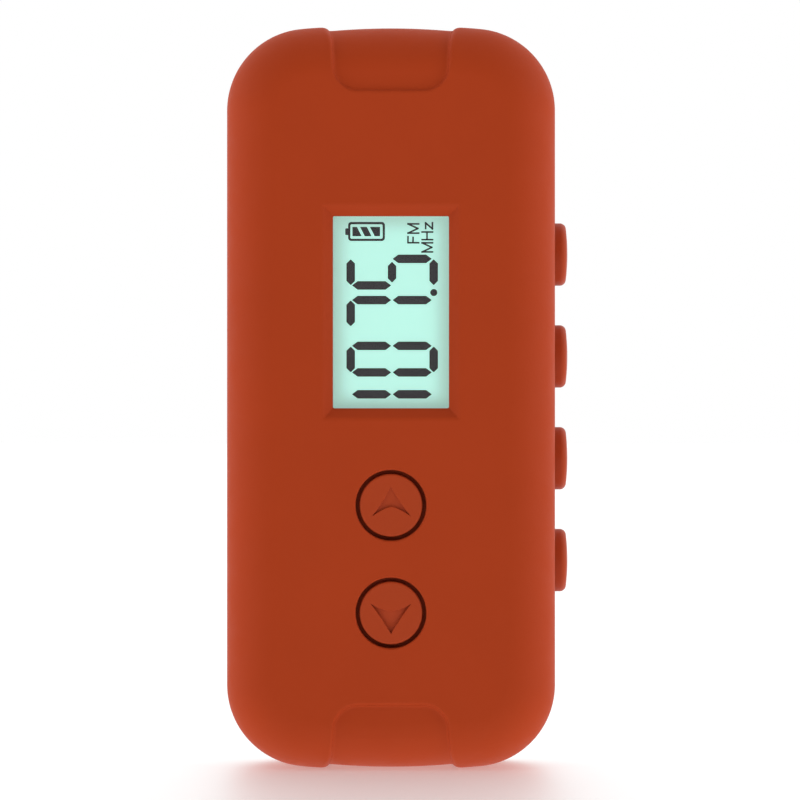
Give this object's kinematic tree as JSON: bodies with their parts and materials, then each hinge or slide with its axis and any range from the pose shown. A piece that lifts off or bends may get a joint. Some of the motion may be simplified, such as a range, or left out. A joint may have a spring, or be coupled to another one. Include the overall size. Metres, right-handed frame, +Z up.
{
  "type": "pocket fm radio",
  "caption": "Pocket FM radio with a small display, round keys on the front and right side, a rear loudspeaker, an earphone socket and a battery bay.",
  "frame": {"origin": "centre of the overall bounding box at the level of the two narrow feet the radio stands on", "axes": "+Z up along the radio's height, -Y out of the front face, +X towards the side keys"},
  "size_m": [0.0396, 0.022, 0.0858],
  "materials": {
    "case_front": "fine matte orange-red ABS",
    "case_rear": "fine matte orange-red ABS",
    "end_caps": "fine matte orange-red ABS",
    "door": "fine matte orange-red ABS",
    "keys": "satin orange-red ABS",
    "lens": "clear acrylic",
    "lcd": "pale mint liquid crystal glass",
    "lcd_ink": "dark segments",
    "backlight": "white diffuser",
    "white_plastic": "moulded",
    "zebra": "striped elastomer",
    "black_foam": "thin closed-cell foam",
    "black_plastic": "moulded",
    "board": "green solder mask on glass-fibre board",
    "steel": "pressed steel",
    "plated": "nickel plate",
    "screws": "zinc plate",
    "copper": "enamelled copper wire",
    "capacitor_sleeve": "shrink sleeve",
    "cone": "thin film diaphragm",
    "cell_sleeve": "plain dark printed sleeve",
    "lead_insulation": "pvc insulation"
  },
  "bodies": {
    "case": {"front_case": "case_front", "rear_case": "case_rear", "top_end_cap": "end_caps", "bottom_end_cap": "end_caps", "display_lens": "lens", "lens_gasket": "black_foam", "lcd_panel": "lcd", "lcd_segments": "lcd_ink", "lcd_backlight": "backlight", "lcd_frame": "white_plastic", "zebra_strip": "zebra", "front_key_switches": "black_plastic", "side_key_switches": "black_plastic", "main_board": "board", "side_key_board": "board", "tuner_chip": "black_plastic", "amplifier_chip": "black_plastic", "crystal": "steel", "capacitors": "capacitor_sleeve", "chip_resistors": "black_plastic", "aerial_coil": "copper", "earphone_jack": "black_plastic", "jack_ring": "plated", "jack_contacts": "steel", "speaker_frame": "steel", "speaker_magnet": "steel", "speaker_cone": "cone", "speaker_gasket": "black_foam", "battery_cells": "cell_sleeve", "cell_terminals": "plated", "positive_contact": "plated", "negative_contact": "plated", "series_bridge": "plated", "contact_springs": "plated", "battery_leads": "lead_insulation", "speaker_leads": "lead_insulation", "case_screws": "screws", "board_screws": "screws"},
    "door": {"battery_door": "door"},
    "key_up": {"up_key": "keys", "up_switch_plunger": "white_plastic"},
    "key_down": {"down_key": "keys", "down_switch_plunger": "white_plastic"},
    "key_side_1": {"side_key_1": "keys", "side_switch_plunger_1": "white_plastic"},
    "key_side_2": {"side_key_2": "keys", "side_switch_plunger_2": "white_plastic"},
    "key_side_3": {"side_key_3": "keys", "side_switch_plunger_3": "white_plastic"},
    "key_side_4": {"side_key_4": "keys", "side_switch_plunger_4": "white_plastic"}
  },
  "joints": [
    {"name": "up_key_press", "type": "slide", "parent": "case", "child": "key_up", "axis": [0, 1, 0], "range_m": [0, 0.0005], "stiffness_N_per_m": 800, "springref_m": -0.001},
    {"name": "down_key_press", "type": "slide", "parent": "case", "child": "key_down", "axis": [0, 1, 0], "range_m": [0, 0.0005], "stiffness_N_per_m": 800, "springref_m": -0.001},
    {"name": "side_key_1_press", "type": "slide", "parent": "case", "child": "key_side_1", "axis": [-1, 0, 0], "range_m": [0, 0.0005], "stiffness_N_per_m": 800, "springref_m": -0.001},
    {"name": "side_key_2_press", "type": "slide", "parent": "case", "child": "key_side_2", "axis": [-1, 0, 0], "range_m": [0, 0.0005], "stiffness_N_per_m": 800, "springref_m": -0.001},
    {"name": "side_key_3_press", "type": "slide", "parent": "case", "child": "key_side_3", "axis": [-1, 0, 0], "range_m": [0, 0.0005], "stiffness_N_per_m": 800, "springref_m": -0.001},
    {"name": "side_key_4_press", "type": "slide", "parent": "case", "child": "key_side_4", "axis": [-1, 0, 0], "range_m": [0, 0.0005], "stiffness_N_per_m": 800, "springref_m": -0.001},
    {"name": "battery_door_tilt", "type": "hinge", "parent": "case", "child": "door", "pos_m": [-0.0008, 0.011, 0.0089], "axis": [-1, 0, 0], "range_deg": [0, 60]}
  ]
}
